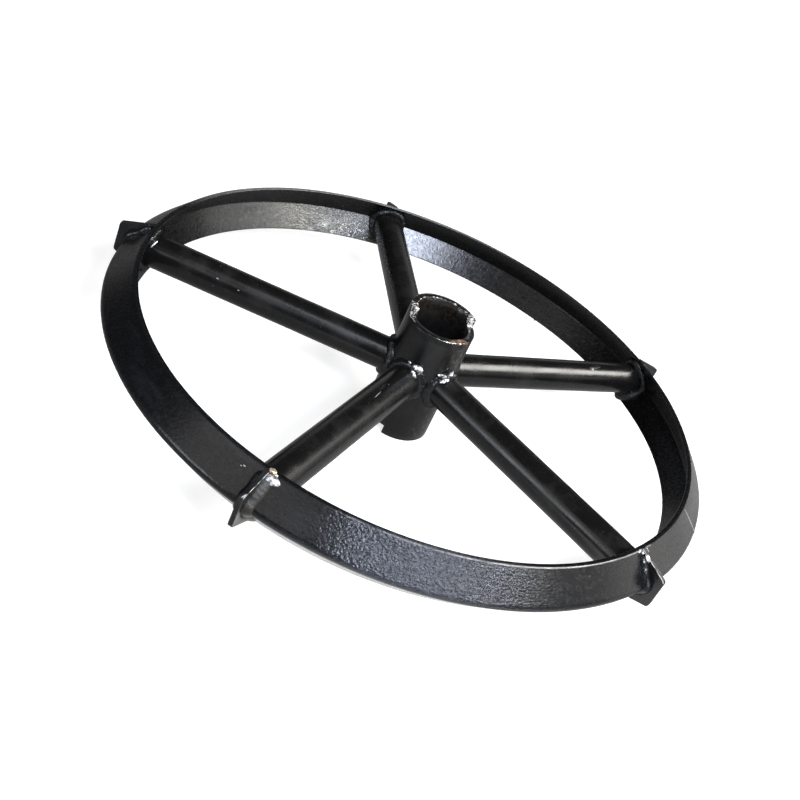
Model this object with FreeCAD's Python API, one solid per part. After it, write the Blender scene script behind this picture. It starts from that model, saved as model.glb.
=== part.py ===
"""Press roller ring: a welded steel wheel with a wedge rim, five spokes, five lugs and a claw hub.

The ring lies flat: its axis is Z, and Z = 0 is the middle plane of the rim.
All sizes are in millimetres and all angles in degrees, counted from +X towards +Y.
"""
import math
import os

import FreeCAD, Part
from FreeCAD import Placement, Rotation, Vector

# rim: one rolled wedge strip, thick at the crest and thin at its two edges
crest_radius = 350.0
flank_depth = 25.6
edge_thickness = 5.5
groove_depth = 17.6
rim_half_width = 29.2
crest_rounding = 6.0
edge_rounding = 1.5

# seam that closes the rim strip, slanted across its outer faces
seam_angle = 350.2
seam_slant = 25.0
seam_width = 3.4
seam_depth = 2.2
seam_crown = 0.5
seam_inset = 1.8

# hub tube with a half-turn claw at each end
hub_radius = 39.15
hub_wall = 8.0
hub_low_half = 65.3
claw_height = 10.0
claw_play = 1.0
claw_chamfer = 0.9
upper_claw_start = 30.0
lower_claw_start = 258.0

# spokes: round tube
spoke_count = 5
first_spoke_angle = 40.0
spoke_radius = 19.0
spoke_wall = 4.0

# lug plates across the crest
lug_thickness = 5.0
lug_reach = 11.2
lug_tip_half = 17.4
lug_root_rise = 1.2
lug_rounding = 2.6

# weld beads
hub_bead = 5.5
rim_bead = 5.2
lug_bead = 4.4
lug_bead_end = 0.2
lug_bead_lift = 0.2
bead_toe = 0.3
bead_bulge = 0.62
bead_dig = 1.5
weld_stations = 24

# sizes that follow from those above
edge_outer_radius = crest_radius - flank_depth
edge_inner_radius = edge_outer_radius - edge_thickness
groove_radius = edge_inner_radius + groove_depth
lug_tip_radius = crest_radius + lug_reach
lug_root_half = rim_half_width + lug_root_rise
bore_radius = hub_radius - hub_wall
hub_full_half = hub_low_half + claw_height
spoke_angles = [first_spoke_angle + 360.0 / spoke_count * i for i in range(spoke_count)]

centre = Vector(0, 0, 0)
axis = Vector(0, 0, 1)


def turned(shape, angle):
    """The shape turned about the ring's axis."""
    copy = shape.copy()
    copy.Placement = Placement(centre, Rotation(axis, angle)).multiply(copy.Placement)
    return copy


def polygon(points):
    """A closed flat face through the given points."""
    corners = [Vector(*p) for p in points]
    return Part.Face(Part.makePolygon(corners + [corners[0]]))


def spun(face):
    """The face turned once about the ring's axis."""
    return face.revolve(centre, axis, 360)


def one_solid(shape):
    """The single solid in a shape; the largest if a cut left crumbs."""
    return max(shape.Solids, key=lambda s: s.Volume)


def pie_slice(start, span, z_low, z_high, reach):
    """A slice about the axis, from a start angle over a span, between two heights."""
    pie = Part.makeCylinder(reach, z_high - z_low, Vector(0, 0, z_low), axis, span)
    return turned(pie, start)


def wedge_section():
    """The rim's section in the XZ plane: rounded crest outside, shallow groove inside.

    Each flank is a straight line from the strip's edge that meets the crest's arc at a tangent.
    The arc's outermost point lies on the crest radius, so the flank's slope depends on where the
    two flanks would meet, and that point depends on the slope: a few turns of the loop settle it.
    """
    slope = math.atan2(flank_depth, rim_half_width)
    for _ in range(20):
        peak = crest_radius + crest_rounding * (1.0 / math.cos(slope) - 1.0)
        slope = math.atan2(peak - edge_outer_radius, rim_half_width)
    tangent_r = crest_radius - crest_rounding * (1.0 - math.cos(slope))
    tangent_z = crest_rounding * math.sin(slope)
    inner_top = Vector(edge_inner_radius, 0, rim_half_width)
    outer_top = Vector(edge_outer_radius, 0, rim_half_width)
    arc_top = Vector(tangent_r, 0, tangent_z)
    crest = Vector(crest_radius, 0, 0)
    arc_bottom = Vector(tangent_r, 0, -tangent_z)
    outer_bottom = Vector(edge_outer_radius, 0, -rim_half_width)
    inner_bottom = Vector(edge_inner_radius, 0, -rim_half_width)
    groove = Vector(groove_radius, 0, 0)
    return Part.Face(Part.Wire([
        Part.makeLine(inner_top, outer_top),
        Part.makeLine(outer_top, arc_top),
        Part.Arc(arc_top, crest, arc_bottom).toShape(),
        Part.makeLine(arc_bottom, outer_bottom),
        Part.makeLine(outer_bottom, inner_bottom),
        Part.makeLine(inner_bottom, groove),
        Part.makeLine(groove, inner_top),
    ]))


def circles_of(shape, radius):
    """The flat round edges of a shape that have the given radius about the ring's axis."""
    found = []
    for edge in shape.Edges:
        round_edge = isinstance(edge.Curve, Part.Circle)
        flat = edge.BoundBox.ZLength < 0.001
        if round_edge and flat and abs(edge.Curve.Radius - radius) < 0.01:
            found.append(edge)
    return found


def rim_blank():
    """The full rim before its seam is cut, with rounded outer corners."""
    ring = spun(wedge_section())
    return ring.makeFillet(edge_rounding, circles_of(ring, edge_outer_radius))


def room_inside_rim():
    """Everything inside the rim's inner faces, taller than the rim."""
    tall = 1.5 * rim_half_width
    return spun(polygon([
        (0, 0, -tall),
        (edge_inner_radius, 0, -tall),
        (edge_inner_radius, 0, -rim_half_width),
        (groove_radius, 0, 0),
        (edge_inner_radius, 0, rim_half_width),
        (edge_inner_radius, 0, tall),
        (0, 0, tall),
    ]))


def seam_bead():
    """The ground bead in the seam: a slanted bar's share of a thin skin over both flanks."""
    top = rim_half_width - seam_inset
    edge_r = edge_outer_radius + flank_depth * seam_inset / rim_half_width
    skin = spun(polygon([
        (edge_r + seam_crown, 0, top),
        (crest_radius + seam_crown, 0, 0),
        (edge_r + seam_crown, 0, -top),
        (edge_r - seam_depth, 0, -top),
        (crest_radius - seam_depth, 0, 0),
        (edge_r - seam_depth, 0, top),
    ]))
    length = 3 * rim_half_width
    thick = 2 * flank_depth
    corner = Vector(crest_radius - thick, -seam_width / 2, -length / 2)
    bar = Part.makeBox(2 * thick, seam_width, length, corner)
    bar.rotate(centre, Vector(1, 0, 0), seam_slant)
    return one_solid(skin.common(turned(bar, seam_angle)))


def hub_body():
    """The hub tube: at each end one half of the turn stands a claw's height above the other."""
    tube = Part.makeCylinder(hub_radius, 2 * hub_full_half, Vector(0, 0, -hub_full_half))
    span = 180.0 + 2 * claw_play
    reach = 2 * hub_radius
    above = hub_full_half + claw_height
    upper_gap = pie_slice(upper_claw_start + 180.0 - claw_play, span, hub_low_half, above, reach)
    lower_gap = pie_slice(lower_claw_start + 180.0 - claw_play, span, -above, -hub_low_half, reach)
    body = tube.cut(upper_gap).cut(lower_gap)
    body = body.makeChamfer(claw_chamfer, circles_of(body, hub_radius))
    bore = Part.makeCylinder(bore_radius, 2 * above, Vector(0, 0, -above))
    return one_solid(body.cut(bore))


def hub_seat(y, z):
    """How far out the hub's surface lies at a point of a spoke's outline, for the spoke along +X."""
    return math.sqrt(hub_radius ** 2 - y ** 2)


def rim_seat(y, z):
    """How far out the rim's groove lies at a point of a spoke's outline, for the spoke along +X."""
    share = min(abs(z) / rim_half_width, 1.0)
    return math.sqrt((groove_radius - groove_depth * share) ** 2 - y ** 2)


def weld_section(seat, away, turn, leg):
    """One section of a bead at a turn round the spoke: a bulging fillet between two surfaces.

    The seat gives the surface that the spoke ends on, and away is the way out of it, +1 or -1.
    The two inner sides dig into the spoke and the seat, and the cuts that follow trim them.
    """
    profile = [
        (-bead_dig, -bead_dig),
        (-bead_dig, leg),
        (bead_toe, leg),
        (bead_bulge * leg, bead_bulge * leg),
        (leg, bead_toe),
        (leg, -bead_dig),
    ]
    points = []
    for outward, lift in profile:
        y = (spoke_radius + outward) * math.cos(turn)
        z = (spoke_radius + outward) * math.sin(turn)
        points.append(Vector(seat(y, z) + away * lift, y, z))
    return Part.makePolygon(points + [points[0]])


def weld_ring(seat, away, leg):
    """A fillet bead all round the end of the spoke along +X, before it is trimmed."""
    turns = [2 * math.pi * (i + 0.5) / weld_stations for i in range(weld_stations)]
    return Part.makeLoft([weld_section(seat, away, turn, leg) for turn in turns], True, False, True)


def lug_outline():
    """The lug plate before it is fitted over the rim, standing in the XZ plane."""
    side = -lug_thickness / 2
    face = polygon([
        (edge_outer_radius, side, lug_root_half),
        (lug_tip_radius, side, lug_tip_half),
        (lug_tip_radius, side, -lug_tip_half),
        (edge_outer_radius, side, -lug_root_half),
    ])
    plate = face.extrude(Vector(0, lug_thickness, 0))
    tips = []
    for edge in plate.Edges:
        box = edge.BoundBox
        if box.YLength > lug_thickness - 0.01 and box.XMin > lug_tip_radius - 0.01:
            tips.append(edge)
    return plate.makeFillet(lug_rounding, tips)


def lug_bead_blank(side):
    """A round bead down one side of the lug along +X, over the crest, before it is trimmed."""
    y = side * lug_thickness / 2
    top = rim_half_width - lug_bead - lug_bead_end
    shelf = crest_radius - flank_depth * top / rim_half_width
    middle = Vector(crest_radius + lug_bead_lift, y, 0)
    body = Part.makeSphere(lug_bead, middle)
    for end in (Vector(shelf, y, top), Vector(shelf, y, -top)):
        path = end - middle
        body = body.fuse(Part.makeSphere(lug_bead, end))
        body = body.fuse(Part.makeCylinder(lug_bead, path.Length, middle, path))
    return body.removeSplitter()


os.makedirs("parts", exist_ok=True)

pieces = {}

whole_rim = rim_blank()
seam = seam_bead()
pieces["rim"] = one_solid(whole_rim.cut(seam))
pieces["rim_joint_weld"] = seam
pieces["hub_tube"] = hub_body()

outward = Vector(1, 0, 0)
inner_room = room_inside_rim()
hub_core = Part.makeCylinder(hub_radius, 2 * hub_full_half, Vector(0, 0, -hub_full_half))
bar = Part.makeCylinder(spoke_radius, crest_radius, centre, outward)
hollow = Part.makeCylinder(spoke_radius - spoke_wall, crest_radius, centre, outward)
spoke = one_solid(bar.cut(hollow).cut(hub_core).common(inner_room))

share = 360.0 / spoke_count
own_sector = pie_slice(-share / 2, share, -hub_full_half, hub_full_half, 3 * hub_radius)
hub_weld = weld_ring(hub_seat, 1, hub_bead)
hub_weld = one_solid(hub_weld.cut(bar).cut(hub_core).common(own_sector))
rim_weld = weld_ring(rim_seat, -1, rim_bead)
rim_weld = one_solid(rim_weld.cut(bar).common(inner_room))

lug_plate = lug_outline()
lug = one_solid(lug_plate.cut(whole_rim))
lug_beads = {
    "a": one_solid(lug_bead_blank(-1).cut(whole_rim).cut(lug_plate)),
    "b": one_solid(lug_bead_blank(1).cut(whole_rim).cut(lug_plate)),
}

for number, angle in enumerate(spoke_angles, start=1):
    pieces["spoke_%d" % number] = turned(spoke, angle)
    pieces["hub_weld_%d" % number] = turned(hub_weld, angle)
    pieces["rim_weld_%d" % number] = turned(rim_weld, angle)
    pieces["lug_%d" % number] = turned(lug, angle)
    for side, bead in lug_beads.items():
        pieces["lug_weld_%d%s" % (number, side)] = turned(bead, angle)

for name, shape in pieces.items():
    shape.exportStep("parts/%s.step" % name)
    box = shape.BoundBox
    print("%-16s volume %10.1f  valid %s  solids %d  z %.2f to %.2f" % (
        name, shape.Volume, shape.isValid(), len(shape.Solids), box.ZMin, box.ZMax))
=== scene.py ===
"""Press roller ring: the black painted wheel with its rippled welds, worn claws and studio light."""
import math

import bpy
import numpy as np
from mathutils import Matrix, Vector


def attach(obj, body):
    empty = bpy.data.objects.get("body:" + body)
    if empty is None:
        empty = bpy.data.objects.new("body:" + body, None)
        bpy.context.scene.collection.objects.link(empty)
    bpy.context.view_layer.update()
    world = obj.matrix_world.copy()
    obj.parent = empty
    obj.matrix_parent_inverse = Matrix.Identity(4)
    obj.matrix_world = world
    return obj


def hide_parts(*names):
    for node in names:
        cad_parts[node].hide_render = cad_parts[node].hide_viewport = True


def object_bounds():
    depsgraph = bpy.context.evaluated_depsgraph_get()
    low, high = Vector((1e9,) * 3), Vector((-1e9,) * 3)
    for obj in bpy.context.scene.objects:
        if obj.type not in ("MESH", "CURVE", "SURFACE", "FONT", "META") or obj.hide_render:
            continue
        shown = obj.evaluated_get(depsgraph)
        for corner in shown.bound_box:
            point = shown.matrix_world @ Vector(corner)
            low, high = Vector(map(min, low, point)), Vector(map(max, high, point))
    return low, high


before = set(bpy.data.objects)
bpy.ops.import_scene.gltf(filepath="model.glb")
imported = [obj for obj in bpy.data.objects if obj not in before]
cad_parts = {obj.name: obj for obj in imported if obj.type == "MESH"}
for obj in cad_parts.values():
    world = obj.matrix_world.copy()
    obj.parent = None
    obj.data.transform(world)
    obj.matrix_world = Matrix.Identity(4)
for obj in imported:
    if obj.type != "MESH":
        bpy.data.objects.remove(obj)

cad_box = [list(corner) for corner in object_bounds()]

# sizes of the ring, in metres and degrees, as in the part's source
crest_radius = 0.350
edge_outer_radius = 0.3244
edge_inner_radius = 0.3189
groove_radius = 0.3365
rim_half_width = 0.0292
crest_rounding = 0.006
edge_rounding = 0.0015
seam_angle = 350.2
seam_slant = 25.0
seam_width = 0.0034
hub_radius = 0.03915
bore_radius = 0.03115
hub_low_half = 0.0653
claw_height = 0.010
claw_play = 1.0
upper_claw_start = 30.0
lower_claw_start = 258.0
spoke_radius = 0.019
spoke_wall = 0.004
lug_thickness = 0.005
lug_tip_radius = 0.3612
lug_tip_half = 0.0174
lug_root_half = 0.0304
hub_bead = 0.0055
rim_bead = 0.0052
lug_bead = 0.0044
spoke_angles = [40.0 + 72.0 * i for i in range(5)]

# smaller sizes of the skins
inner_edge_rounding = 0.0007
groove_rounding = 0.0010
hub_chamfer = 0.0009
bore_chamfer = 0.0005
step_run = 0.35
lug_edge_rounding = 0.0005
ring_bead_root = 0.0012
lug_bead_root = 0.0010

# the flanks' slope and the height of the sharp crest before it is rounded follow from one another
flank_slope = math.atan2(crest_radius - edge_outer_radius, rim_half_width)
for _ in range(20):
    crest_peak = crest_radius + crest_rounding * (1.0 / math.cos(flank_slope) - 1.0)
    flank_slope = math.atan2(crest_peak - edge_outer_radius, rim_half_width)


# curves

def turned(points, angle):
    """Points turned about the Z axis: x cos a - y sin a, x sin a + y cos a, z."""
    a = math.radians(angle)
    x, y, z = points[..., 0], points[..., 1], points[..., 2]
    return np.stack([x * math.cos(a) - y * math.sin(a), x * math.sin(a) + y * math.cos(a), z], -1)


def waves(t, turns, seed):
    """A slow uneven wave from -1 to 1: a mean of sines with whole numbers of turns and seeded phases."""
    phases = np.random.default_rng(seed).uniform(0, 2 * np.pi, len(turns))
    return sum(np.sin(n * t + p) for n, p in zip(turns, phases)) / len(turns)


def angle_off(a, at):
    """The signed angle from at to a, between -180 and 180 degrees."""
    return (a - at + 180) % 360 - 180


def rise(x, start, run):
    """0 up to start, 1 from start + run on, and a straight slope between them."""
    return np.clip((x - start) / run, 0, 1)


def bell(x, width, power=2):
    """A bell curve, 1 at 0: e to the minus (x / width) to the power."""
    return np.exp(-(x / width) ** power)


def flank_radius(z):
    """The rim's outer radius at a height: an arc at the crest, straight flanks beside it."""
    z = np.abs(z)
    tangent = crest_rounding * math.sin(flank_slope)
    height = np.sqrt(np.maximum(crest_rounding ** 2 - np.minimum(z, tangent) ** 2, 0))
    arc = crest_radius - crest_rounding + height
    return np.where(z < tangent, arc, crest_peak - math.tan(flank_slope) * z)


def flank_lean(z):
    """The angle of the outer face's normal above the middle plane: asin(z / rounding), at most the slope."""
    limit = math.sin(flank_slope)
    return np.arcsin(np.clip(z / crest_rounding, -limit, limit))


def hub_seat(y, _):
    """Distance from the axis to the hub's surface at y: sqrt(hub radius squared less y squared)."""
    return np.sqrt(hub_radius ** 2 - y ** 2)


def rim_seat(y, z):
    """Distance to the rim's groove at y, z: the groove's radius falls evenly from its middle to its edges."""
    share = np.minimum(np.abs(z) / rim_half_width, 1.0)
    return np.sqrt((groove_radius - (groove_radius - edge_inner_radius) * share) ** 2 - y ** 2)


def claw_profile(a, start):
    """1 over the raised half turn that begins at start, less the play at each end, and 0 over the other."""
    d = (a - start - claw_play) % 360.0
    return rise(d, 0, step_run) * rise(180.0 - 2 * claw_play - d, 0, step_run)


def rounded_loop(corners, radii, arc_steps=7):
    """A closed outline with rounded corners and extra points on its straight runs.

    Each corner becomes an arc of its radius, tangent to both sides, by turning one radius arm to
    the other; each run is the straight blend from one arc's end to the next arc's start.
    """
    c = np.array(corners, float)
    r = np.array(radii, float)[:, None]
    a = np.roll(c, 1, 0) - c
    b = np.roll(c, -1, 0) - c
    a /= np.linalg.norm(a, axis=1, keepdims=True)
    b /= np.linalg.norm(b, axis=1, keepdims=True)
    half = np.arccos(np.clip((a * b).sum(1, keepdims=True), -1, 1)) / 2
    middle = (a + b) / np.linalg.norm(a + b, axis=1, keepdims=True)
    centre = c + middle * r / np.sin(half)
    arm_a = c + a * r / np.tan(half) - centre
    arm_b = c + b * r / np.tan(half) - centre
    sweep = (np.pi - 2 * half)[:, None, :]
    k = np.linspace(0, 1, arc_steps)[None, :, None]
    arcs = centre[:, None] + (np.sin((1 - k) * sweep) * arm_a[:, None]
                              + np.sin(k * sweep) * arm_b[:, None]) / np.sin(sweep)
    f = np.array([0.03, 0.12, 0.3, 0.5, 0.7, 0.88, 0.97])[None, :, None]
    runs = arcs[:, -1:] * (1 - f) + np.roll(arcs[:, :1], -1, 0) * f
    return np.concatenate([arcs, runs], 1).reshape(-1, 2)


def bead_section(size, q, fall, root, wide=1.0):
    """The two arms of a bead's closed section: size times (cos q, sin q) to the power fall.

    The first arm is also times wide. The section closes through a hidden corner, a depth root
    inside the two pieces that the bead joins.
    """
    hidden = -root + 0 * size[:, :1]
    first = np.hstack([wide * size * np.cos(q) ** fall, hidden, hidden, wide * size[:, :1]])
    second = np.hstack([size * np.sin(q) ** fall, size[:, -1:], hidden, hidden])
    return first, second


# shells

def shell(points, close_u=True):
    """A grid P(u, v), closed in v, as vertices, quads and cap triangles.

    Neighbours in u and v share a quad. Where u is open, each end loop is closed by a fan round its mean.
    """
    m, n = points.shape[:2]
    i = np.arange(m if close_u else m - 1)[:, None]
    j = np.arange(n)[None, :]
    a, b = i * n + j, i * n + (j + 1) % n
    c, d = ((i + 1) % m) * n + (j + 1) % n, ((i + 1) % m) * n + j
    quads = np.stack([a, b, c, d], -1).reshape(-1, 4)
    verts = points.reshape(-1, 3)
    tris = np.zeros((0, 3), int)
    if not close_u:
        first = np.arange(n)
        last = (m - 1) * n + first
        verts = np.vstack([verts, points[0].mean(0), points[-1].mean(0)])
        tris = np.vstack([
            np.stack([np.full(n, m * n), np.roll(first, -1), first], -1),
            np.stack([np.full(n, m * n + 1), last, np.roll(last, -1)], -1),
        ])
    return verts, quads, tris


def signed_volume(verts, quads, tris):
    """Six times the volume, negative where the faces look inwards: the sum of a . (b x c) over triangles."""
    flat = np.vstack([quads[:, :3], quads[:, [0, 2, 3]], tris])
    a, b, c = verts[flat[:, 0]], verts[flat[:, 1]], verts[flat[:, 2]]
    return float(np.einsum("ij,ij->i", a, np.cross(b, c)).sum())


def piece(name, shells, material, nodes=(), wear=None):
    """One object from several closed shells, each turned right side out, riding on the root body."""
    verts, faces, start = [], [], 0
    for v, q, t in shells:
        if signed_volume(v, q, t) < 0:
            q, t = q[:, ::-1], t[:, ::-1]
        verts.append(v)
        faces += (q + start).tolist() + (t + start).tolist()
        start += len(v)
    mesh = bpy.data.meshes.new(name)
    mesh.from_pydata(np.vstack(verts).tolist(), [], faces)
    mesh.polygons.foreach_set("use_smooth", np.ones(len(mesh.polygons), bool))
    if wear is not None:
        mesh.attributes.new("wear", "FLOAT", "POINT").data.foreach_set("value", wear.astype(np.float32))
    mesh.materials.append(material)
    obj = bpy.data.objects.new(name, mesh)
    bpy.context.scene.collection.objects.link(obj)
    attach(obj, "root")
    if nodes:
        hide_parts(*nodes)


def rim_shell():
    """The wedge profile turned once round Z; radius and height wander by 0.15 mm as rolled strip does.

    The crest and the outer flank below it count as worn, which dulls their paint.
    """
    loop = rounded_loop(
        [(edge_inner_radius, rim_half_width), (edge_outer_radius, rim_half_width), (crest_peak, 0),
         (edge_outer_radius, -rim_half_width), (edge_inner_radius, -rim_half_width), (groove_radius, 0)],
        [inner_edge_rounding, edge_rounding, crest_rounding,
         edge_rounding, inner_edge_rounding, groove_rounding])
    loop_r, loop_z = loop[None, :, 0], loop[None, :, 1]
    t = np.linspace(0, 2 * np.pi, 720, endpoint=False)[:, None]
    r = loop_r + 0.00015 * waves(t, (3, 7, 12, 19), 1)
    z = loop_z * (1 + 0.004 * waves(t, (4, 9, 17), 2))
    wear = rise(loop_r - crest_radius, -0.010, 0.008) * (loop_z < 0.001) + 0 * r
    return shell(np.stack([r * np.cos(t), r * np.sin(t), z + 0 * r], -1)), wear.reshape(-1)


def seam_shell():
    """A low slanted ridge over both flanks: its offset along the turn is -z tan(slant).

    Its section is an ellipse, 0.6 mm high outside the flank and 1.5 mm deep inside it.
    """
    z = np.linspace(-1, 1, 161)[:, None] * (rim_half_width - 0.0018)
    loop = np.linspace(0, 2 * np.pi, 24, endpoint=False)[None, :]
    across, lift = np.cos(loop), np.sin(loop)
    ripple = 1 + 0.25 * waves(z * 1800, (1, 2), 3)
    taper = np.sqrt(np.clip(1 - (z / (rim_half_width - 0.0017)) ** 8, 0.02, 1))
    r = flank_radius(z) + np.where(lift > 0, 0.0006 * ripple * taper, 0.0015) * lift
    side = -z * math.tan(math.radians(seam_slant)) + across * taper * seam_width / 2
    turn = math.radians(seam_angle) + side / r
    return shell(np.stack([r * np.cos(turn), r * np.sin(turn), z + 0 * r], -1), close_u=False)


def hub_shell():
    """A tube section carried round Z; its two end heights step up by one claw over half a turn each.

    The section's corners are cut back. Burrs are small seeded bumps on the end faces near the steps.
    Wear is strongest on the steps and beside them, on the upper end's outer edge at the front and on
    the raised half's inner edge.
    """
    steps = [upper_claw_start, upper_claw_start + 180, lower_claw_start, lower_claw_start + 180]
    fine = np.concatenate([s + np.linspace(-2.4, 2.4, 97) for s in steps]) % 360.0
    a = np.unique(np.round(np.concatenate([np.arange(0, 360, 0.75), fine]), 4))[:, None]
    t = np.radians(a)
    raised = claw_profile(a, upper_claw_start)
    top = hub_low_half + claw_height * raised
    bottom = hub_low_half + claw_height * claw_profile(a, lower_claw_start)
    to_step = np.minimum.reduce([np.abs(angle_off(a, s)) for s in steps[:2]])
    near, beside = bell(to_step, 5.0), bell(to_step, 17.0)
    burr = near * 0.00045 * np.abs(waves(t, (61, 97, 143, 190), 5)) + 0.00012 * waves(t, (23, 41, 67, 88), 6)
    top = top + burr

    # the section's points: up the outer wall, over the top face, down the bore, back under the bottom face
    cut, nick = hub_chamfer, bore_chamfer
    ones = np.ones_like(a)
    levels = np.linspace(0, 1, 15)[1:-1][None, :]
    outer_z = (-bottom + cut) + (top + bottom - 2 * cut) * levels
    inner_z = (top - nick) - (top + bottom - 2 * nick) * levels
    mid = (hub_radius + bore_radius) / 2
    r = np.hstack([
        hub_radius * ones, hub_radius * (ones + 0 * levels), hub_radius * ones,
        (hub_radius - 0.35 * cut) * ones, (hub_radius - cut) * ones, mid * ones, (bore_radius + nick) * ones,
        bore_radius * ones, bore_radius * (ones + 0 * levels), bore_radius * ones,
        (bore_radius + nick) * ones, mid * ones, (hub_radius - cut) * ones])
    z = np.hstack([
        -bottom + cut, outer_z, top - cut,
        top - 0.35 * cut, top, top, top,
        top - nick, inner_z, -bottom + nick,
        -bottom, -bottom, -bottom])

    end_face = rise(z, top - 0.0012, 0.0010)
    outer_edge = end_face * rise(r - hub_radius, -0.0016, 0.0008)
    inner_edge = end_face * rise(bore_radius + 0.0009 - r, 0, 0.0004)
    step = near * rise(z - hub_low_half, -0.0006, 0.001)
    rubbed = bell(angle_off(a, 306), 34.0, 4)
    wear = end_face * (0.05 + raised * (0.20 + 0.75 * beside)) + outer_edge * (0.30 + 0.58 * rubbed)
    wear = np.clip(wear + 0.90 * step + 0.45 * inner_edge * raised, 0, 1.3).reshape(-1)
    return shell(np.stack([r * np.cos(t), r * np.sin(t), z], -1)), wear


def spoke_shell(angle, seed):
    """A tube wall along X, closed to a torus: outside from hub to rim, inside back again.

    At a turn t and a radius p the ends lie on the hub and the groove at y = p cos t, z = p sin t.
    """
    outside, inside = 49, 5
    t = np.linspace(0, 2 * np.pi, 128, endpoint=False)[:, None]
    s = np.concatenate([np.linspace(0, 1, outside), np.linspace(1, 0, inside)])[None, :]
    rho = np.repeat([spoke_radius, spoke_radius - spoke_wall], [outside, inside])[None, :]
    swell = 0.00006 * waves(s * 9 + 2 * t, (1, 2, 3), seed)
    y, z = (rho + swell) * np.cos(t), (rho + swell) * np.sin(t)
    x = hub_seat(y, z) * (1 - s) + rim_seat(y, z) * s
    return shell(turned(np.stack([x, y, z], -1), angle))


def ring_weld_shell(seat, away, leg, fall, angle, seed, thick=()):
    """A fillet bead round a spoke's end: its legs wander, and crescent ripples cross it every 2 mm.

    The face is (cos q, sin q) to the power fall between spoke and seat, bulging below 1 and hollow
    above. At each turn named in thick the bead swells by a bell curve of the given width and height.
    """
    t = np.linspace(0, 2 * np.pi, 432, endpoint=False)[:, None]
    q = np.linspace(0, np.pi / 2, 13)[None, :]
    lean = t + 0.07 * np.sin(2 * q)
    ripple = 0.030 * np.sin(66 * lean + 2.5 * waves(t, (3, 5, 8), seed + 50))
    swell = sum((high * bell(angle_off(np.degrees(t), at), wide) for at, wide, high in thick), 0 * t)
    lumps = 0.13 * waves(t, (2, 5, 9, 14), seed) + 0.10 * np.abs(waves(t, (17, 23, 31), seed + 7))
    size = leg * (0.95 + lumps + swell + ripple * np.sin(2 * q))
    outward, lift = bead_section(size, q, fall, ring_bead_root)
    y, z = (spoke_radius + outward) * np.cos(t), (spoke_radius + outward) * np.sin(t)
    return shell(turned(np.stack([seat(y, z) + away * lift, y, z], -1), angle))


def lug_shell(angle, seed, worn):
    """A plate over the crest: at each station a rounded bar from the rim's face I(s) to the outline O(s).

    I follows the rim's outer face, O the trapezoid with rounded tips; the outer corners across the
    thickness are quarter rounds. The corners of the upper slope carry the two worn shares.
    """
    s = np.linspace(-1, 1, 121)[:, None]
    # the outline's upper half, from the tip's flat to the root; the lower half mirrors it
    upper_half = np.array([
        (lug_tip_radius, lug_tip_half - 0.0022), (lug_tip_radius - 0.0006, lug_tip_half - 0.0003),
        (lug_tip_radius - 0.0022, lug_tip_half + 0.0009), (edge_outer_radius, lug_root_half)])
    outline = np.vstack([upper_half[::-1] * (1, -1), upper_half])
    run = np.concatenate([[0], np.cumsum(np.linalg.norm(np.diff(outline, axis=0), axis=1))])
    run = run / run[-1] * 2 - 1
    outer_r, outer_z = np.interp(s, run, outline[:, 0]), np.interp(s, run, outline[:, 1])
    inner_z = s * rim_half_width
    inner_r = flank_radius(inner_z) - 0.0003
    span = np.hypot(outer_r - inner_r, outer_z - inner_z)
    rho = np.minimum(lug_edge_rounding, 0.3 * span)
    q = np.linspace(0, np.pi / 2, 5)[None, :]
    half = lug_thickness / 2
    level, band = 0 * s, np.minimum(0.0006, 0.1 * span)
    side_run = np.hstack([level, span * 0.5, span - rho - band])
    flat = np.hstack([half - rho - band, level, -(half - rho - band)])
    along = np.hstack([side_run, span - rho + rho * np.sin(q), span + 0 * flat,
                       span - rho + rho * np.cos(q), side_run[:, ::-1]])
    y = np.hstack([half + 0 * side_run, half - rho + rho * np.cos(q), flat,
                   -(half - rho + rho * np.sin(q)), -half + 0 * side_run])
    k = along / span
    rough = 0.00012 * waves(s * 40, (1, 2, 3, 5), seed) * (k > 0.9)
    r = inner_r * (1 - k) + outer_r * k - np.abs(rough)
    z = inner_z * (1 - k) + outer_z * k
    upper = rise(outer_z, 0.012, 0.005)
    one, other = upper * worn[0] + 0 * q, upper * worn[1] + 0 * q
    corner = np.hstack([0 * side_run, one, 0 * flat, other, 0 * side_run])
    wear = np.concatenate([corner.reshape(-1), [0.0, 0.0]])
    return shell(turned(np.stack([r, y, z], -1), angle), close_u=False), wear


def lug_weld_shell(side, angle, seed, wide=1.0, fall=1.0):
    """A bead in the corner of lug and rim: profile (cos q, sin q) to the power fall, over the crest.

    The first arm points away from the plate, times wide, the second along the rim's face normal.
    Both arms swell and shrink by up to a quarter in slow waves, less on a wide bead, with short
    ripples over them; the ends taper.
    """
    z0 = np.linspace(-1, 1, 241)[:, None] * (rim_half_width - 0.0030)
    q = np.linspace(0, np.pi / 2, 9)[None, :]
    lean = flank_lean(z0)
    taper = np.sqrt(np.clip(1 - (z0 / (rim_half_width - 0.0025)) ** 10, 0.05, 1))
    ripple = 0.006 * np.sin(z0 * 2100 + 0.9 * np.sin(2 * q) + 4 * waves(z0 * 90, (1, 2), seed + 9))
    lumps = 0.24 / wide ** 1.5 * waves(z0 * 130, (1, 2, 3, 4), seed)
    size = 1.12 * lug_bead * taper * (0.92 + lumps + ripple)
    away, lift = bead_section(size, q, fall, lug_bead_root, wide)
    r = flank_radius(z0) + lift * np.cos(lean)
    z = z0 + lift * np.sin(lean)
    y = side * (lug_thickness / 2 + away)
    return shell(turned(np.stack([r, y, z], -1), angle), close_u=False)


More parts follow.
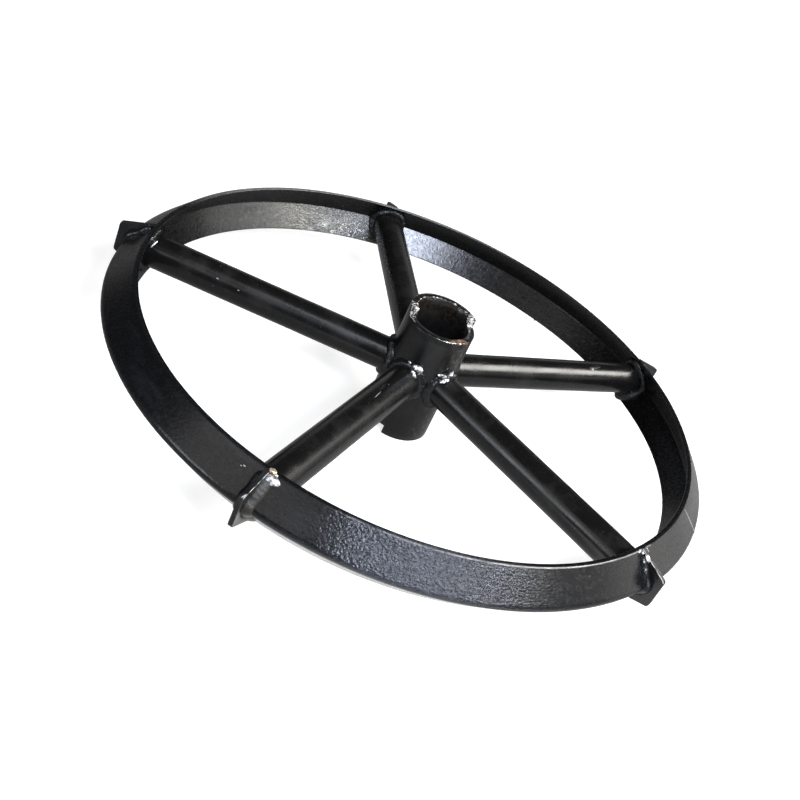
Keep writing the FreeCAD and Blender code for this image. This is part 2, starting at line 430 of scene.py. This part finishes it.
def blob(start, end, width, rise_by, seed, back=None):
    """A smooth lump from start to end: an ellipsoid whose surface swells by 12 % in slow waves.

    Its long half-axis is half the run plus half the width, its side half-axis half the width, and
    rise_by is its third half-axis, square to the run and away from the point back. Without that point
    it stands outward and up, as the rim's upper flank and the hub's welds do.
    """
    a, b = np.array(start), np.array(end)
    middle, run = (a + b) / 2, b - a
    length = np.linalg.norm(run)
    first = run / length
    outward = np.array([middle[0], middle[1], 0.0]) / np.hypot(middle[0], middle[1])
    facing = outward * math.cos(flank_slope) + np.array([0.0, 0.0, math.sin(flank_slope)])
    if back is not None:
        facing = middle - np.array(back)
    facing = facing - first * facing.dot(first)
    third = facing / np.linalg.norm(facing)
    second = np.cross(third, first)
    u = np.linspace(0, 2 * np.pi, 28, endpoint=False)[None, :]
    v = np.linspace(0.08, np.pi - 0.08, 15)[:, None]
    swell = 1 + 0.12 * waves(2 * u + 3 * v, (1, 2), seed) * np.sin(v)
    x, y, z = (np.cos(v) + 0 * u) * swell, np.sin(v) * np.cos(u) * swell, np.sin(v) * np.sin(u) * swell
    points = (x[..., None] * first * (length + width) / 2 + y[..., None] * second * width / 2
              + z[..., None] * third * rise_by)
    return shell(middle + points, close_u=False)


def around(azimuth, radius, z):
    """A point from its azimuth in degrees, and its radius and height in millimetres."""
    a = math.radians(azimuth)
    return (radius * math.cos(a) / 1000, radius * math.sin(a) / 1000, z / 1000)


def on_spoke(number, along, turn, rho=19.0):
    """A point on a spoke, in millimetres: along from the axis, a turn round it, rho from its middle."""
    a = math.radians(turn)
    point = np.array([along, rho * math.cos(a), rho * math.sin(a)]) / 1000
    return tuple(turned(point, spoke_angles[number - 1]))


# finishes

class Graph:
    """Short forms for building shader nodes. A value is a number, a colour or another node's output."""

    def __init__(self, tree):
        self.nodes = tree.nodes
        self.links = tree.links

    def put(self, value, socket):
        """Set a number or a colour on a socket, or link an output to it."""
        if isinstance(value, (int, float)):
            socket.default_value = value
        elif isinstance(value, tuple):
            socket.default_value = (*value, 1.0)
        else:
            self.links.new(value, socket)

    def node(self, kind, *values):
        """A new node with values for its first sockets, in their order."""
        node = self.nodes.new(kind)
        for socket, value in zip(node.inputs, values):
            self.put(value, socket)
        return node

    def math(self, operation, a, b=0.0):
        """One operation on one or two values."""
        node = self.node("ShaderNodeMath", a, b)
        node.operation = operation
        return node.outputs[0]

    def times(self, first, *others):
        """All values multiplied, from left to right."""
        for other in others:
            first = self.math("MULTIPLY", first, other)
        return first

    def plus(self, first, *others):
        """All values added, from left to right."""
        for other in others:
            first = self.math("ADD", first, other)
        return first

    def off_axis(self, x, y):
        """Distance from the Z axis: the square root of x squared plus y squared."""
        return self.math("SQRT", self.plus(self.times(x, x), self.times(y, y)))

    def parts(self, vector):
        """The three numbers of a vector."""
        return list(self.node("ShaderNodeSeparateXYZ", vector).outputs)

    def range(self, value, low, high, to_low=0.0, to_high=1.0):
        """The value carried from low...high to to_low...to_high, held at both ends."""
        node = self.nodes.new("ShaderNodeMapRange")
        for name, number in (("From Min", low), ("From Max", high), ("To Min", to_low), ("To Max", to_high)):
            self.put(number, node.inputs[name])
        self.put(value, node.inputs["Value"])
        return node.outputs[0]

    def window(self, value, up, down):
        """1 between two slopes: up over the first range, down over the second."""
        return self.times(self.range(value, *up), self.range(value, down[1], down[0]))

    def mix(self, share, a, b):
        """Number a where the share is 0, number b where it is 1."""
        node = self.nodes.new("ShaderNodeMix")
        for index, value in ((0, share), (2, a), (3, b)):
            self.put(value, node.inputs[index])
        return node.outputs[0]

    def blend(self, mask, a, b):
        """Colour a where the mask is 0, colour b where it is 1."""
        node = self.nodes.new("ShaderNodeMix")
        node.data_type = "RGBA"
        for index, value in ((0, mask), (6, a), (7, b)):
            self.put(value, node.inputs[index])
        return node.outputs[2]

    def rays(self, first, *others):
        """1 for the named kinds of ray, 0 for the others."""
        kinds = self.nodes.new("ShaderNodeLightPath").outputs
        total = kinds[first]
        for other in others:
            total = self.math("MAXIMUM", total, kinds[other])
        return total


class Finish(Graph):
    """One material: its shader, and the patterns that its colour, gloss and bumps come from."""

    def __init__(self, name):
        self.material = bpy.data.materials.new(name)
        self.material.use_nodes = True
        super().__init__(self.material.node_tree)
        self.shader = self.nodes["Principled BSDF"]
        self.place = self.nodes.new("ShaderNodeTexCoord").outputs["Object"]

    def shade(self, name, value):
        """Give one socket of the shader its value."""
        self.put(value, self.shader.inputs[name])

    def stretched(self, vector, scale):
        """Coordinates stretched by a scale on each axis."""
        node = self.nodes.new("ShaderNodeMapping")
        node.inputs["Scale"].default_value = scale
        self.put(vector, node.inputs["Vector"])
        return node.outputs[0]

    def worn(self):
        """The share of wear that a piece's own points carry."""
        node = self.nodes.new("ShaderNodeAttribute")
        node.attribute_name = "wear"
        return node.outputs["Fac"]

    def around_ring(self):
        """Coordinates that follow the rim, in metres: length round the turn from +X, radius, height."""
        x, y, z = self.parts(self.place)
        turn = self.times(self.math("ARCTAN2", y, x), crest_radius)
        return self.node("ShaderNodeCombineXYZ", turn, self.off_axis(x, y), z).outputs[0]

    def noise(self, scale, detail=4.0, rough=0.55, vector=None):
        """Noise from 0 to 1, with about scale lumps to the metre and detail octaves of finer ones."""
        node = self.nodes.new("ShaderNodeTexNoise")
        for name, number in (("Scale", scale), ("Detail", detail), ("Roughness", rough)):
            self.put(number, node.inputs[name])
        self.put(vector or self.place, node.inputs["Vector"])
        return node.outputs["Fac"]

    def bump(self, heights):
        """Several height fields, each (value, distance in metres, strength), one over the other."""
        normal = None
        for value, distance, strength in heights:
            node = self.nodes.new("ShaderNodeBump")
            for name, setting in (("Distance", distance), ("Strength", strength), ("Height", value)):
                self.put(setting, node.inputs[name])
            if normal is not None:
                self.put(normal, node.inputs["Normal"])
            normal = node.outputs[0]
        self.shade("Normal", normal)


paint_gloss = 0.42

# stretches of the rim, in metres round the turn from +X (the front is -0.55): where each begins and ends
pebbled_run = ((-0.585, -0.495), (-0.43, -0.32))
front_sheen_run = ((-0.575, -0.495), (-0.46, -0.37))
corner_highlight_run = ((-0.72, -0.44), (-0.20, -0.14))
sheen_run = ((0.54, 0.72), (0.84, 0.99))
pool_run = ((0.66, 0.70), (0.76, 0.84))
top_reflection_run = ((0.46, 0.62), (0.93, 1.05))


def rim_finish():
    """Black paint on rolled strip, pebbled at the front under a painted bluish sheen; inside at the back, a
    streaked painted sheen, pale and partly metallic.

    The narrow top face carries a painted reflection at the back, and a painted highlight, pale and partly
    metallic, along its outer corner at the front.
    """
    f = Finish("rim black paint")
    ring = f.around_ring()
    length, radius, height = f.parts(ring)
    # the middle of the strip's thickness leans inwards by 0.74 for each unit of height
    middle = f.plus(radius, f.times(f.math("ABSOLUTE", height), 0.74))
    inside = f.range(middle, 0.3440, 0.3425)
    low_inside = f.times(inside, f.range(height, 0.0004, -0.0004))
    pool = f.times(f.window(length, *pool_run), low_inside)
    front = f.window(length, *pebbled_run)
    coarse = f.plus(front, f.times(pool, 0.5), 0.10)
    pebbles = f.noise(450, 2.0, 0.55, f.stretched(ring, (0.70, 1.0, 1.15)))
    grain = f.noise(420, 3, 0.6, f.stretched(ring, (1.0, 1.0, 0.07)))
    sags = f.noise(30, 5, 0.6, f.stretched(ring, (0.3, 1.0, 1.5)))

    # the black: thicker and thinner coats, a painted bluish sheen on the pebbles at the front, darker inside
    # as painted shade, a few painted glints
    # painted sheen: a pale bluish colour on the pebbles at the front stands in for the light that they mirror
    pale = f.times(f.window(length, *front_sheen_run), f.range(pebbles, 0.40, 0.62, 0.4, 1.0))
    # painted glints: pale specks, strongest at the front, stand in for sparkles of light on the pebbles
    glints = f.times(f.range(f.noise(520, 3, 0.6), 0.64, 0.72), f.range(front, 0.0, 1.0, 0.06, 0.40))
    paint = f.blend(f.range(sags, 0.54, 0.76), (0.0032, 0.0033, 0.0036), (0.0110, 0.0113, 0.0125))
    paint = f.blend(pale, paint, (0.024, 0.027, 0.034))
    # painted shade: the paint is darker inside the groove, where it lies in shade
    paint = f.blend(inside, paint, (0.0012, 0.0012, 0.0013))
    paint = f.blend(glints, paint, (0.20, 0.21, 0.24))

    # a painted reflection on the top face at the back, a painted sheen low inside at the back, and a painted
    # highlight on the top face's outer corner
    # painted reflection: a pale colour on the top face at the back stands in for the sky mirrored there
    painted_top_reflection = f.times(f.window(length, *top_reflection_run),
                   f.range(height, rim_half_width - 0.0005, rim_half_width - 0.0002),
                   f.range(grain, 0.3, 0.7, 0.3, 1.0))
    # painted sheen: pale, partly metallic streaks and brighter patches low inside at the back stand in for
    # light mirrored there
    streaks = f.plus(f.range(grain, 0.35, 0.65, 0.14, 0.40), f.range(sags, 0.45, 0.6, 0.0, 0.10))
    patches = f.range(f.noise(90, 3, 0.6, f.stretched(ring, (0.6, 1.0, 1.0))), 0.52, 0.60, 0.0, 0.5)
    sheen = f.plus(f.times(f.window(length, *sheen_run), low_inside, streaks),
                   f.times(pool, patches, f.range(height, -0.010, -0.022)))
    # painted highlight: a pale, partly metallic line along the top face's outer corner, strongest at the front
    # and broken up by noise
    corner = f.times(f.range(height, rim_half_width - 0.0009, rim_half_width - 0.0006),
                     f.range(radius, edge_outer_radius - 0.0009, edge_outer_radius - 0.0006))
    rubbed = f.plus(f.times(f.window(length, *corner_highlight_run), 0.55),
                    f.noise(70, 4, 0.6, f.stretched(ring, (0.5, 1.0, 1.0))))
    bare = f.times(corner, f.range(rubbed, 0.80, 1.20, 0.0, 0.6))
    paint = f.blend(painted_top_reflection, paint, (0.150, 0.147, 0.132))
    paint = f.blend(sheen, paint, (0.23, 0.225, 0.205))
    f.shade("Base Color", f.blend(bare, paint, (0.36, 0.345, 0.32)))
    f.shade("Metallic", f.math("MAXIMUM", bare, sheen))

    skin = f.plus(f.range(f.noise(210, 4, 0.6), 0.35, 0.65, 0.19, 0.32), f.times(coarse, -0.12))
    dull = f.math("MAXIMUM", skin, f.times(f.worn(), 0.50))
    f.shade("Roughness", f.math("MAXIMUM", dull, f.times(bare, 0.42)))
    f.shade("Specular IOR Level", paint_gloss)
    f.bump([(sags, 0.0006, 0.5), (f.times(grain, low_inside), 0.00035, 0.6),
            (f.times(pebbles, coarse), 0.00200, 1.0), (f.noise(800, 2), 0.00006, 0.5)])
    return f.material


def seam_finish():
    """The ground seam: greyer and duller than the paint beside it, in patches."""
    f = Finish("seam paint")
    f.shade("Base Color", f.blend(f.noise(260, 4, 0.6), (0.050, 0.050, 0.048), (0.170, 0.166, 0.155)))
    f.shade("Roughness", f.range(f.noise(300, 3), 0.35, 0.65, 0.24, 0.40))
    f.bump([(f.noise(500, 3), 0.0003, 0.5)])
    return f.material


def tube_finish(name, seed):
    """Gloss black paint on drawn tube: nearly smooth, faint orange peel, dusty patches and pale specks."""
    f = Finish(name)
    patch = f.noise(19 + seed, 6, 0.62)
    specks = f.times(f.range(f.noise(430 + 5 * seed, 2, 0.5), 0.74, 0.79), 0.35)
    paint = f.blend(f.range(patch, 0.52, 0.74), (0.0030, 0.0029, 0.0027), (0.0110, 0.0100, 0.0088))
    f.shade("Base Color", f.blend(specks, paint, (0.26, 0.24, 0.21)))
    f.shade("Roughness", f.range(patch, 0.35, 0.72, 0.20, 0.36))
    f.shade("Specular IOR Level", paint_gloss)
    f.bump([(f.noise(150, 3), 0.0006, 0.22), (f.noise(900, 2), 0.00012, 0.35)])
    return f.material


def hub_finish():
    """Gloss black paint, worn to bright steel on the claw steps and edges, rusty on part of the low seat.

    The right side is scuffed, and the upper part of the bore is brown in patches.
    """
    f = Finish("hub black paint")
    grain = f.noise(290, 4, 0.62)
    patch = f.noise(38, 6, 0.62)
    x, y, z = f.parts(f.place)
    low_seat = f.times(f.range(z, hub_low_half - 0.0030, hub_low_half - 0.0010), f.range(y, -0.014, -0.018))
    rust = f.times(low_seat, f.range(x, 0.016, 0.021), f.range(f.noise(190, 4, 0.6), 0.47, 0.55))
    scuffs = f.times(f.range(f.noise(210, 5, 0.7), 0.52, 0.68), f.range(x, 0.018, 0.034), 0.24)
    bore = f.times(f.range(f.off_axis(x, y), bore_radius + 0.0006, bore_radius + 0.0002),
                   f.range(grain, 0.4, 0.6), f.range(z, 0.040, 0.066))
    paint = f.blend(f.range(patch, 0.5, 0.75), (0.0028, 0.0027, 0.0026), (0.0090, 0.0087, 0.0082))
    paint = f.blend(bore, paint, (0.015, 0.011, 0.008))
    paint = f.blend(scuffs, paint, (0.26, 0.24, 0.19))
    paint = f.blend(rust, paint, (0.21, 0.115, 0.078))
    steel = f.blend(f.range(f.noise(250, 3), 0.45, 0.54), (0.055, 0.052, 0.038), (0.95, 0.93, 0.85))
    scatter = f.times(f.math("SUBTRACT", grain, 0.5), 1.5)
    bare = f.range(f.plus(f.worn(), scatter), 0.60, 0.72)
    f.shade("Base Color", f.blend(bare, paint, steel))
    f.shade("Metallic", f.times(bare, 0.7))
    f.shade("Roughness", f.blend(bare, f.range(patch, 0.35, 0.7, 0.24, 0.42), (0.24, 0.24, 0.24)))
    f.shade("Specular IOR Level", paint_gloss)
    f.bump([(f.noise(150, 3), 0.0006, 0.25), (f.times(grain, bare), 0.0012, 0.7)])
    return f.material


def plate_finish():
    """Semi-gloss black paint on cut plate, chipped to metal along its outer corners, a few pale scuffs."""
    f = Finish("lug black paint")
    chips = f.times(f.range(f.noise(300, 6, 0.72), 0.69, 0.75), 0.5)
    edge = f.range(f.plus(f.worn(), f.times(f.noise(120, 5, 0.65), 0.9)), 1.36, 1.46)
    patch = f.noise(45, 6, 0.6)
    paint = f.blend(f.range(patch, 0.5, 0.75), (0.0038, 0.0038, 0.0041), (0.0130, 0.0127, 0.0125))
    f.shade("Base Color", f.blend(f.math("MAXIMUM", chips, edge), paint, (0.34, 0.32, 0.29)))
    f.shade("Roughness", f.range(patch, 0.3, 0.7, 0.22, 0.42))
    f.shade("Specular IOR Level", paint_gloss)
    f.bump([(f.noise(150, 4, 0.6), 0.0010, 0.5), (f.noise(700, 3), 0.0002, 0.4)])
    return f.material


def weld_finish(name, paint, rough, lumpy, grainy, gloss=paint_gloss):
    """Paint over a lumpy bead, with a few small flakes off it."""
    f = Finish(name)
    lumps = f.noise(120, 3, 0.55)
    flakes = f.range(f.noise(260, 4, 0.62), 0.72, 0.76)
    f.shade("Base Color", f.blend(flakes, paint, (0.52, 0.49, 0.43)))
    f.shade("Metallic", flakes)
    f.shade("Roughness", f.range(lumps, 0.3, 0.7, *rough))
    f.shade("Specular IOR Level", gloss)
    f.bump([(lumps, lumpy, 0.75), (f.noise(380, 4), grainy, 0.4)])
    return f.material


def bare_finish(name, bright, deep, specks):
    """Bare weld metal: smooth bright lumps with deep tarnish in the hollows and a share of black specks."""
    f = Finish(name)
    hollows = f.noise(230, 3, 0.55)
    metal = f.blend(f.range(hollows, 0.42, 0.56), deep, bright)
    black = f.times(f.range(f.noise(340, 3, 0.6), 0.60, 0.65), specks)
    f.shade("Base Color", f.blend(black, metal, (0.012, 0.012, 0.013)))
    f.shade("Metallic", 0.7)
    f.shade("Roughness", f.range(hollows, 0.3, 0.7, 0.42, 0.26))
    f.bump([(hollows, 0.0016, 0.8)])
    return f.material


def scratch_finish():
    """Pale rubbed paint in scratches and specks."""
    f = Finish("scratched paint")
    f.shade("Base Color", f.blend(f.noise(700, 3), (0.10, 0.098, 0.092), (0.42, 0.41, 0.38)))
    f.shade("Roughness", f.range(f.noise(500, 3), 0.3, 0.7, 0.30, 0.50))
    return f.material


# pieces

rim_paint = rim_finish()
hub_paint = hub_finish()
lug_paint = plate_finish()
weld_paint = weld_finish("painted weld", (0.0045, 0.0045, 0.0048), (0.14, 0.28), 0.0022, 0.0003)
dusty_weld = weld_finish("dusty painted weld", (0.020, 0.0165, 0.0115), (0.36, 0.50), 0.0008, 0.0016, 0.22)

# where a spoke's welds are thicker: the turn round the spoke and the width, in degrees, and the height
thick_at_hub = {4: [(66, 24, 0.25)], 5: [(112, 26, 0.25)]}
thick_at_rim = {1: [(258, 20, 0.75), (226, 16, 0.55), (95, 14, 0.35)],
                3: [(50, 18, 0.35)], 4: [(90, 20, 0.3)]}
# how much wider than high a lug's weld is, and the power of its profile, for the lug and its side
lug_weld_forms = {(5, -1): (1.5,), (4, 1): (1.8, 1.5), (4, -1): (1.3,)}
dusty_lug_welds = [(4, 1)]
# how far the two corners of a lug's upper slope are worn: towards larger angles, towards smaller ones
lug_wear = {4: (1.0, 0.0), 5: (0.85, 1.0)}

rim, rim_wear = rim_shell()
piece("wedge_rim", [rim], rim_paint, ["rim"], rim_wear)
piece("rim_seam", [seam_shell()], seam_finish(), ["rim_joint_weld"])
hub, hub_wear = hub_shell()
piece("claw_hub", [hub], hub_paint, ["hub_tube"], hub_wear)

for i, angle in enumerate(spoke_angles):
    n = i + 1
    paint = tube_finish("spoke black paint %d" % n, 3 * i)
    piece("tube_spoke_%d" % n, [spoke_shell(angle, 20 + i)], paint, ["spoke_%d" % n])
    bead = ring_weld_shell(hub_seat, 1, hub_bead, 0.85, angle, 30 + i, thick_at_hub.get(n, ()))
    piece("hub_fillet_%d" % n, [bead], weld_paint, ["hub_weld_%d" % n])
    bead = ring_weld_shell(rim_seat, -1, 1.25 * rim_bead, 1.15, angle, 40 + i, thick_at_rim.get(n, ()))
    piece("rim_fillet_%d" % n, [bead], weld_paint, ["rim_weld_%d" % n])
    plate, wear = lug_shell(angle, 60 + i, lug_wear.get(n, (0.8, 0.8)))
    piece("crest_lug_%d" % n, [plate], lug_paint, ["lug_%d" % n], wear)
    for side, word in ((-1, "a"), (1, "b")):
        bead = lug_weld_shell(side, angle, 70 + 2 * i + side, *lug_weld_forms.get((n, side), ()))
        paint = dusty_weld if (n, side) in dusty_lug_welds else weld_paint
        piece("lug_fillet_%d%s" % (n, word), [bead], paint, ["lug_weld_%d%s" % (n, word)])


def lumps(name, slot, material, rows):
    """One piece of many lumps, each row the arguments of one blob."""
    piece(name, [blob(*row) for row in rows], material)


# lumps of bare weld metal, some of them painted glints: two ends, width and rise in metres, a seed
silver = bare_finish("bare weld metal", (0.90, 0.88, 0.85), (0.14, 0.14, 0.14), 0.9)
gold = bare_finish("straw coloured weld metal", (0.86, 0.74, 0.54), (0.30, 0.22, 0.13), 0.6)
lumps("hub_bare_lumps", "weld_paint", silver, [
    (around(264.5, 43.2, 24.6), around(272.5, 42.0, 23.8), 0.0066, 0.0024, 1),
    (around(264.5, 45.4, 18.6), around(269.5, 45.8, 15.4), 0.0044, 0.0020, 2),
    (around(300.5, 44.6, 25.6), around(312.0, 44.4, 24.6), 0.0036, 0.0019, 3),
    (around(318.5, 43.9, 23.6), around(325.0, 42.6, 27.0), 0.0042, 0.0020, 4),
    (around(307.0, 46.6, 18.0), around(316.5, 46.4, 20.6), 0.0042, 0.0015, 5),
    (around(252.0, 41.6, 24.8), around(254.5, 41.4, 24.8), 0.0024, 0.0014, 6),
])
# painted highlights: the bright lumps on the lower right lug's weld and the one on the left spoke's rim weld
# stand in for glints there; the large lump at the lower left lug is bare weld metal
lumps("rim_bare_and_glint_lumps", "weld_paint", silver, [
    (around(256.6, 330.1, 25.7), around(258.1, 329.1, 25.4), 0.0086, 0.0030, 7),
    (around(327.45, 332.6, 27.4), around(327.55, 335.4, 25.2), 0.0056, 0.0020, 8),
    (around(327.6, 325.6, 28.2), around(327.2, 329.6, 25.2), 0.0026, 0.0012, 9),
    (around(326.9, 324.4, 29.0), around(326.5, 325.2, 28.6), 0.0030, 0.0012, 10),
    (around(327.1, 331.4, 23.0), around(327.0, 333.4, 21.0), 0.0020, 0.0012, 11),
    (around(328.9, 324.2, 29.2), around(328.5, 330.0, 28.6), 0.0016, 0.0008, 12),
    (on_spoke(3, 318.6, 36, 20.4), on_spoke(3, 315.4, 62, 20.2), 0.0014, 0.0010, 13),
    (around(111.0, 325.5, 15.0), around(111.3, 325.5, 14.6), 0.0022, 0.0014, 14),
])
lumps("rim_straw_lumps", "weld_paint", gold, [
    (around(256.4, 323.6, 29.0), around(256.9, 323.4, 29.1), 0.0054, 0.0024, 15),
    (around(257.3, 325.0, 28.6), around(257.6, 325.0, 28.6), 0.0030, 0.0016, 16),
])

# small drops of spatter under the paint, on the rim and the spokes; a last point is the one behind a drop
lumps("paint_drops", "rim_paint", lug_paint, [
    (around(41.2, 327.4, 14.5), around(41.5, 327.4, 14.5), 0.0014, 0.0010, 21),
    (around(30.5, 333.6, -4.3), around(30.7, 333.6, -4.3), 0.0012, 0.0010, 22),
    (around(69.2, 319.0, -28.6), around(69.4, 319.0, -28.6), 0.0016, 0.0012, 23),
    (around(39.4, 319.4, -28.6), around(39.9, 319.4, -28.8), 0.0030, 0.0022, 24),
    (around(5.5, 326.4, 27.2), around(5.8, 326.2, 27.2), 0.0012, 0.0009, 25),
    (on_spoke(4, 92.6, 87), on_spoke(4, 91.2, 87), 0.0016, 0.0009, 26, on_spoke(4, 92, 0, 0)),
    (on_spoke(1, 242.0, 108, 18.9), on_spoke(1, 258.0, 102, 18.9), 0.0046, 0.0007, 27, on_spoke(1, 250, 0, 0)),
    (on_spoke(4, 318.0, 92, 20.5), on_spoke(4, 321.0, 86, 22.0), 0.0050, 0.0030, 28),
])

# pale scratches and specks in the paint of the spokes, and beside the lower left lug
lumps("spoke_scratches", "spoke_paint", scratch_finish(), [
    (on_spoke(4, 127.0, 80, 18.9), on_spoke(4, 109.0, 84, 18.9), 0.0006, 0.00022, 31, on_spoke(4, 118, 0, 0)),
    (on_spoke(3, 241.6, 31, 18.9), on_spoke(3, 240.0, 31, 18.9), 0.0012, 0.0004, 32, on_spoke(3, 241, 0, 0)),
    (on_spoke(3, 215.8, 23, 18.9), on_spoke(3, 214.6, 23, 18.9), 0.0011, 0.0004, 33, on_spoke(3, 215, 0, 0)),
    (on_spoke(1, 244.0, 116, 18.9), on_spoke(1, 245.6, 116, 18.9), 0.0024, 0.0009, 34, on_spoke(1, 245, 0, 0)),
    (around(256.1, 360.6, 18.2), around(256.35, 357.6, 20.6), 0.0015, 0.0005, 35),
    (around(252.5, 331.2, 22.3), around(252.7, 331.2, 22.3), 0.0013, 0.0006, 36),
    (around(252.1, 332.4, 21.2), around(252.2, 332.2, 21.4), 0.0010, 0.0005, 37),
])


# stage, light and camera

floor_radius = 14.0
floor_corners = 96


def floor_stage():
    """A large round floor under the hub, white to the camera, that keeps the ring's soft shadow.

    What the paint mirrors of it is given apart: bright at the right and in a band before the ring,
    dim at the left, and a little brighter again far from the ring.
    """
    level = cad_box[0][2]
    t = np.linspace(0, 2 * np.pi, floor_corners, endpoint=False)
    outline = np.stack([floor_radius * np.cos(t), floor_radius * np.sin(t), level + 0 * t], -1)
    mesh = bpy.data.meshes.new("studio_floor")
    mesh.from_pydata(outline.tolist(), [], [list(range(floor_corners))])
    f = Finish("floor white")
    f.shade("Base Color", (0.44, 0.44, 0.44))
    f.shade("Roughness", 0.9)
    f.shade("Specular IOR Level", 0.0)
    x, y, _ = f.parts(f.place)
    away = f.off_axis(x, y)
    right = f.math("SUBTRACT", f.times(x, 0.94), f.times(y, 0.34))
    right = f.range(f.math("DIVIDE", right, f.plus(away, 0.15)), -0.5, 0.7)
    band = f.times(f.window(away, (0.276, 0.288), (0.41, 0.45)), f.range(y, -0.10, -0.26, 0.0, 1.2),
                   f.range(x, -0.16, -0.02, 0.05, 1.0))
    low = f.plus(f.range(away, 0.35, 0.70, 0.36, 0.08), f.range(away, 1.0, 1.4, 0.0, 0.36))
    dim = f.times(low, f.math("SUBTRACT", 1.0, right))
    bright = f.times(f.range(away, 0.35, 2.5, 0.58, 1.50), right)
    backdrop = f.times(f.range(away, 0.9, 2.6, 0.74, 1.05), f.rays("Is Camera Ray"))
    white = (1.0, 1.0, 1.0)
    mirrored = f.node("ShaderNodeEmission", white, f.plus(dim, bright, band)).outputs[0]
    backdrop = f.node("ShaderNodeEmission", white, backdrop).outputs[0]
    lit = f.node("ShaderNodeAddShader", f.shader.outputs[0], backdrop).outputs[0]
    mirrors = f.rays("Is Glossy Ray", "Is Transmission Ray")
    surface = f.node("ShaderNodeMixShader", mirrors, lit, mirrored).outputs[0]
    f.put(surface, f.nodes["Material Output"].inputs["Surface"])
    mesh.materials.append(f.material)
    floor = bpy.data.objects.new("studio_floor", mesh)
    bpy.context.scene.collection.objects.link(floor)


def studio_world():
    """White behind all that the camera sees; mirrors see a bright skyline at the right, a dim room above."""
    world = bpy.data.worlds.new("studio")
    world.use_nodes = True
    g = Graph(world.node_tree)
    x, _, z = g.parts(g.nodes.new("ShaderNodeTexCoord").outputs["Generated"])
    skyline = g.range(x, -0.7, 0.7, 0.15, 1.3)
    room = g.range(z, 0.0, 0.05, skyline, 0.03)
    lit = g.mix(g.rays("Is Glossy Ray", "Is Transmission Ray"), 0.22, room)
    sky = g.nodes["Background"]
    g.put((1.0, 1.0, 1.0), sky.inputs["Color"])
    g.put(g.mix(g.rays("Is Camera Ray"), lit, 1.0), sky.inputs["Strength"])
    bpy.context.scene.world = world


def softbox(name, azimuth, elevation, distance, width, height, power, colour):
    """A flat lamp of a given size that faces the ring's centre from an azimuth and an elevation."""
    lamp = bpy.data.lights.new(name, "AREA")
    lamp.shape = "RECTANGLE"
    lamp.size, lamp.size_y = width, height
    lamp.energy, lamp.color = power, colour
    obj = bpy.data.objects.new(name, lamp)
    a, e = math.radians(azimuth), math.radians(elevation)
    spot = Vector((math.cos(e) * math.cos(a), math.cos(e) * math.sin(a), math.sin(e))) * distance
    obj.location = spot
    obj.rotation_euler = spot.to_track_quat("Z", "Y").to_euler()
    obj.visible_camera = False
    bpy.context.scene.collection.objects.link(obj)


def photo_camera():
    """The camera of the photograph, from its place, rotation vector, lens and small shift."""
    place = (0.0, -1.069375, 0.635388)
    turn = Vector((2.0973, 0.4688, 0.2898))
    rows = Matrix.Rotation(turn.length, 3, turn.normalized())
    axes = Matrix((rows[0], -rows[1], -rows[2])).transposed()
    data = bpy.data.cameras.new("photo_camera")
    data.sensor_width = 36.0
    data.lens = 49.985
    data.shift_x = -0.03576
    data.shift_y = 0.00965
    obj = bpy.data.objects.new("photo_camera", data)
    obj.matrix_world = Matrix.Translation(place) @ axes.to_4x4()
    bpy.context.scene.collection.objects.link(obj)
    bpy.context.scene.camera = obj


floor_stage()
studio_world()
# lamps: azimuth, elevation, distance, width, height, power in watts, colour
for lamp in (
        ("right_key", 11, 43.5, 2.4, 1.3, 0.85, 64, (1.0, 0.98, 0.93)),
        ("right_broad", -22, 21, 2.4, 2.0, 0.8, 2.8, (1.0, 0.98, 0.95)),
        ("right_low", 16, 12, 2.4, 1.2, 0.7, 4.2, (1.0, 0.97, 0.92)),
        ("right_side", 36, 22, 2.4, 0.6, 0.7, 2.6, (1.0, 0.98, 0.95)),
        ("front_key", -56, 44, 2.4, 0.75, 0.55, 92, (0.72, 0.80, 1.0)),
        ("front_fill", -54, 40, 2.4, 1.5, 1.1, 20, (0.88, 0.92, 1.0)),
        ("front_side", -34, 30, 2.4, 0.7, 1.0, 4.5, (0.95, 0.97, 1.0)),
        ("back_fill", 97, 10, 2.4, 1.9, 0.9, 2.3, (1.0, 0.99, 0.96)),
        ("left_strip", -139, 13, 2.4, 0.75, 0.9, 12.5, (0.9, 0.95, 1.0)),
        ("left_fill", -124, 35, 1.5, 1.2, 0.3, 1.7, (1.0, 0.97, 0.93)),
        ("top_strip", -84, 60, 2.2, 0.9, 0.50, 5.4, (1.0, 0.98, 0.94))):
    softbox(*lamp)
photo_camera()
bpy.context.scene.view_settings.view_transform = "Standard"
